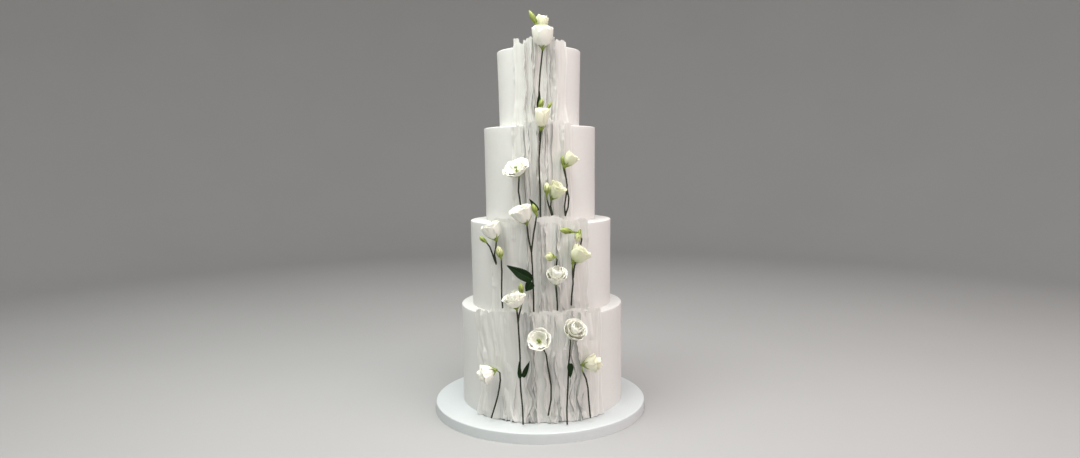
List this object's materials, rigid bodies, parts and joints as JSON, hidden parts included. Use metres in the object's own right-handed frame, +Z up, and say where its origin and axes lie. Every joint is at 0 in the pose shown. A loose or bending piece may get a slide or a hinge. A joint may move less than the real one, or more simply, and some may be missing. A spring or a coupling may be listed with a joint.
{
  "type": "tiered wedding cake",
  "caption": "Tall round tiered wedding cake on its covered board, with a panel of ruffled wafer paper and long-stemmed lisianthus down its front.",
  "frame": {"origin": "centre of the covered board's underside", "axes": "+Z up the cake, the ruffled and flowered front towards -Y, +X to the right as seen from the front"},
  "size_m": [0.33, 0.33, 0.604],
  "materials": {
    "board": "smooth satin icing over the board",
    "icing": "smooth matte white icing",
    "paper": "thin translucent white wafer paper",
    "petal": "soft cream white petals",
    "bud": "soft pale green",
    "stem": "satin dark green",
    "leaf": "satin dark green"
  },
  "bodies": {
    "root": {"cake_board": "board", "tier_1": "icing", "tier_2": "icing", "tier_3": "icing", "tier_4": "icing", "ruffle_tier_1": "paper", "ruffle_tier_2": "paper", "ruffle_tier_3": "paper", "ruffle_tier_4": "paper", "bloom_a": "petal", "bloom_a_rear": "petal", "bloom_b": "petal", "bloom_c": "petal", "bloom_d": "petal", "bloom_e": "petal", "bloom_f": "petal", "bloom_g": "petal", "bloom_h": "petal", "bloom_i": "petal", "bloom_j": "petal", "bloom_k": "petal", "bloom_l": "petal", "bloom_m": "petal", "bloom_n": "petal", "bud_a_rear_1": "bud", "bud_b_1": "bud", "bud_b_2": "bud", "bud_d_1": "bud", "bud_e_1": "bud", "bud_f_1": "bud", "bud_g_1": "bud", "bud_g_side_1": "bud", "bud_h_1": "bud", "bud_h_2": "bud", "bud_i_1": "bud", "bud_j_1": "bud", "stem_a": "stem", "stem_a_rear": "stem", "stem_b": "stem", "stem_c": "stem", "stem_d": "stem", "stem_e": "stem", "stem_f": "stem", "stem_g": "stem", "stem_g_side": "stem", "stem_h": "stem", "stem_i": "stem", "stem_j": "stem", "stem_k": "stem", "stem_l": "stem", "stem_m": "stem", "stem_n": "stem", "leaf_a_1": "leaf", "leaf_b_1": "leaf", "leaf_f_1": "leaf", "leaf_f_2": "leaf", "leaf_j_1": "leaf", "leaf_j_2": "leaf", "leaf_l_1": "leaf"}
  },
  "joints": []
}
